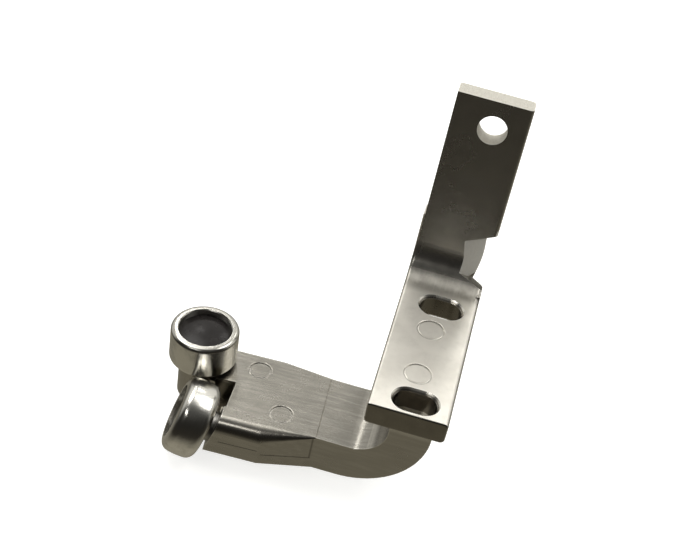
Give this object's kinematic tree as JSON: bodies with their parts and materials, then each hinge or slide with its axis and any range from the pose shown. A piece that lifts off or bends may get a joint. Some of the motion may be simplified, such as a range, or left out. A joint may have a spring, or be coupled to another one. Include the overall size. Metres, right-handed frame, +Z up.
{
  "type": "sliding door roller bracket",
  "caption": "Cast bracket with a slotted plate, an upright tab and a bent arm carrying a vertical guide roller and a horizontal load roller.",
  "frame": {"origin": "midway between the two plate slots, on the mounting plate's top face", "axes": "+X across the plate and along the arm, away from the rollers; +Y along the plate towards the upright tab; +Z up, out of the plate's top face"},
  "size_m": [0.0875, 0.0942, 0.0986],
  "materials": {
    "cast_metal": "satin",
    "polished_steel": "polished",
    "race_steel": "polished",
    "pin_steel": "satin",
    "brass_cage": "satin",
    "shield_steel": "satin",
    "cap_dark": "gloss"
  },
  "bodies": {
    "fixed": {"bracket": "cast_metal", "guide_pin": "pin_steel", "guide_spacer": "pin_steel", "guide_inner_race": "race_steel", "guide_washer": "pin_steel", "load_axle": "pin_steel", "load_spacer": "pin_steel", "load_inner_race": "race_steel", "load_washer": "pin_steel"},
    "guide_roller": {"guide_tyre": "polished_steel", "guide_outer_race": "race_steel", "guide_shield_lower": "shield_steel", "guide_shield_upper": "shield_steel", "guide_cap": "cap_dark"},
    "guide_ball_set": {"guide_balls": "race_steel", "guide_cage": "brass_cage"},
    "load_roller": {"load_tyre": "polished_steel", "load_outer_race": "race_steel", "load_shield_inner": "shield_steel", "load_shield_outer": "shield_steel", "load_retainer": "pin_steel"},
    "load_ball_set": {"load_balls": "race_steel", "load_cage": "brass_cage"}
  },
  "joints": [
    {"name": "guide_spin", "type": "hinge", "parent": "fixed", "child": "guide_roller", "pos_m": [-0.06495, -0.0062, -0.01618], "axis": [-0.0436, 0, 0.999], "continuous": true},
    {"name": "guide_balls_spin", "type": "hinge", "parent": "fixed", "child": "guide_ball_set", "pos_m": [-0.06495, -0.0062, -0.01618], "axis": [-0.0436, 0, 0.999], "continuous": true},
    {"name": "load_spin", "type": "hinge", "parent": "fixed", "child": "load_roller", "pos_m": [-0.0616, -0.0263, -0.027], "axis": [-0.9573, -0.0753, 0.279], "continuous": true},
    {"name": "load_balls_spin", "type": "hinge", "parent": "fixed", "child": "load_ball_set", "pos_m": [-0.0616, -0.0263, -0.027], "axis": [-0.9573, -0.0753, 0.279], "continuous": true}
  ],
  "couplings": [
    {"joint": "guide_balls_spin", "follows": "guide_spin", "ratio": 0.60714},
    {"joint": "load_balls_spin", "follows": "load_spin", "ratio": 0.60345}
  ]
}
